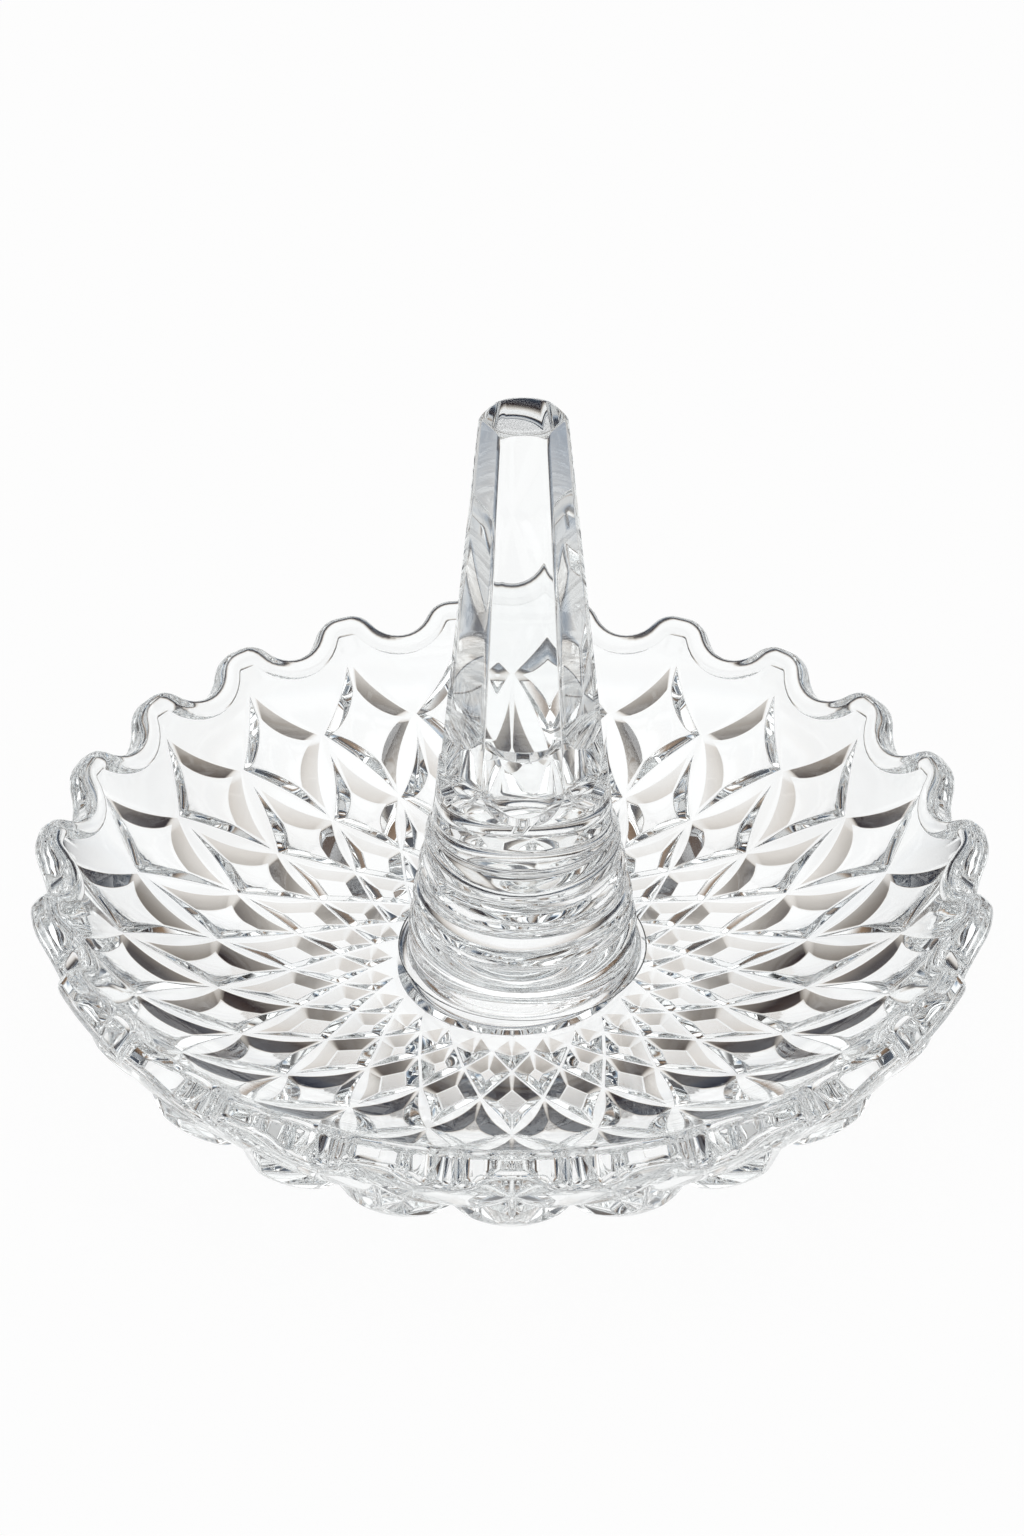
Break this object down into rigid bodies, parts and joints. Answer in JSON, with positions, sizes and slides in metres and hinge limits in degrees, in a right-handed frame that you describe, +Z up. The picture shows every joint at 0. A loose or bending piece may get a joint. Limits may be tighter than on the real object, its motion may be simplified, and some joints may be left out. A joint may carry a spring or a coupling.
{
  "type": "ring dish",
  "caption": "Clear cut-glass ring dish: a round, shallow dish with a scalloped rim and diamond-cut underside, and a tall tapered, faceted ring post bonded to the middle of its floor.",
  "frame": {"origin": "middle of the underside, on the dish's axis, where it rests on the table", "axes": "+Z up along the dish's axis and the post; -Y towards the viewer of the picture, through a tip of the scalloped rim; +X to the viewer's right"},
  "size_m": [0.1078, 0.1076, 0.0757],
  "materials": {
    "cut_glass": "polished, colourless pressed and cut glass",
    "post_glass": "polished, colourless solid glass with flat ground panels",
    "clear_bond": "clear, cured optical adhesive"
  },
  "bodies": {
    "root": {"dish": "cut_glass", "ring_post": "post_glass", "bond_film": "clear_bond"}
  },
  "joints": []
}
